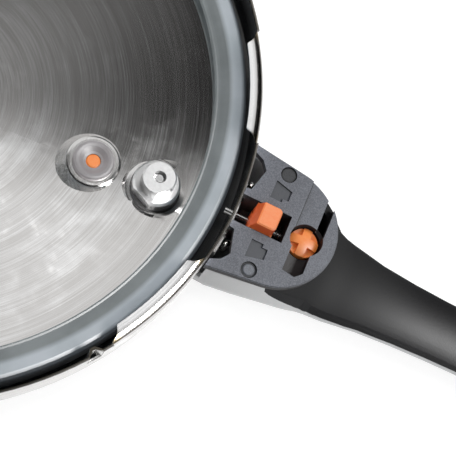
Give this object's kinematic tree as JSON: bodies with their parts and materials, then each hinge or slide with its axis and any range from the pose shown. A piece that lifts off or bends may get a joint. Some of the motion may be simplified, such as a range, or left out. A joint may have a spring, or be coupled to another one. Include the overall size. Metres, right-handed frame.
{
  "type": "pressure cooker lid with handle",
  "caption": "Domed steel pressure cooker lid with bayonet lugs, sealing ring, safety valve, pressure indicator and a long handle with release slider, lock plunger and opening button.",
  "frame": {"origin": "centre of the crown's flat outer face, on the lid's axis", "axes": "+Z along the lid's axis towards its inner side, which faces up; +X along the handle, away from the lid; +Y to the left of the handle"},
  "size_m": [0.41, 0.236, 0.035],
  "materials": {
    "lid_steel": "spun, satin",
    "ring_silicone": "satin silicone",
    "grommet_silicone": "satin silicone",
    "valve_metal": "turned and polished",
    "fastener_steel": "turned",
    "spring_steel": "drawn wire",
    "silver_plastic": "silver lacquer, satin",
    "black_plastic": "satin",
    "grey_plastic": "fine grain",
    "dark_plastic": "fine grain",
    "orange_plastic": "satin"
  },
  "bodies": {
    "lid": {"lid_shell": "lid_steel", "sealing_ring": "ring_silicone", "indicator_grommet": "grommet_silicone", "indicator_spring": "spring_steel", "valve_body": "valve_metal", "valve_nut": "valve_metal", "valve_seal": "grommet_silicone", "valve_spring": "spring_steel", "lid_bracket": "lid_steel", "handle_cover": "silver_plastic", "handle_grip": "black_plastic", "base_plate": "grey_plastic", "screw_cover_recessed": "dark_plastic", "screw_cover_flush": "grey_plastic", "handle_screws": "fastener_steel", "guide_pin": "fastener_steel", "release_spring": "spring_steel", "plunger_spring": "spring_steel", "button_spring": "spring_steel"},
    "release": {"release_block": "orange_plastic", "release_pin": "fastener_steel"},
    "plunger": {"lock_plunger": "orange_plastic"},
    "button": {"opening_button": "black_plastic", "button_link": "dark_plastic"},
    "indicator": {"indicator_pin": "orange_plastic"},
    "stem": {"valve_stem": "valve_metal"}
  },
  "joints": [
    {"name": "release_slide", "type": "slide", "parent": "lid", "child": "release", "axis": [1, 0, 0], "range_m": [0, 0.0036], "stiffness_N_per_m": 400, "springref_m": -0.002, "deforming": ["release_spring"]},
    {"name": "button_slide", "type": "slide", "parent": "lid", "child": "button", "axis": [1, 0, 0], "range_m": [0, 0.006], "stiffness_N_per_m": 500, "springref_m": -0.003, "deforming": ["button_spring"]},
    {"name": "plunger_slide", "type": "slide", "parent": "lid", "child": "plunger", "axis": [0, 0, -1], "range_m": [0, 0.003], "deforming": ["plunger_spring"]},
    {"name": "indicator_slide", "type": "slide", "parent": "lid", "child": "indicator", "axis": [0, 0, -1], "range_m": [0, 0.004], "stiffness_N_per_m": 60, "springref_m": -0.001, "deforming": ["indicator_spring"]},
    {"name": "valve_lift", "type": "slide", "parent": "lid", "child": "stem", "axis": [0, 0, -1], "range_m": [0, 0.0015], "stiffness_N_per_m": 800, "springref_m": -0.003, "deforming": ["valve_spring"]}
  ],
  "couplings": [
    {"joint": "plunger_slide", "follows": "button_slide", "ratio": 0.5}
  ]
}
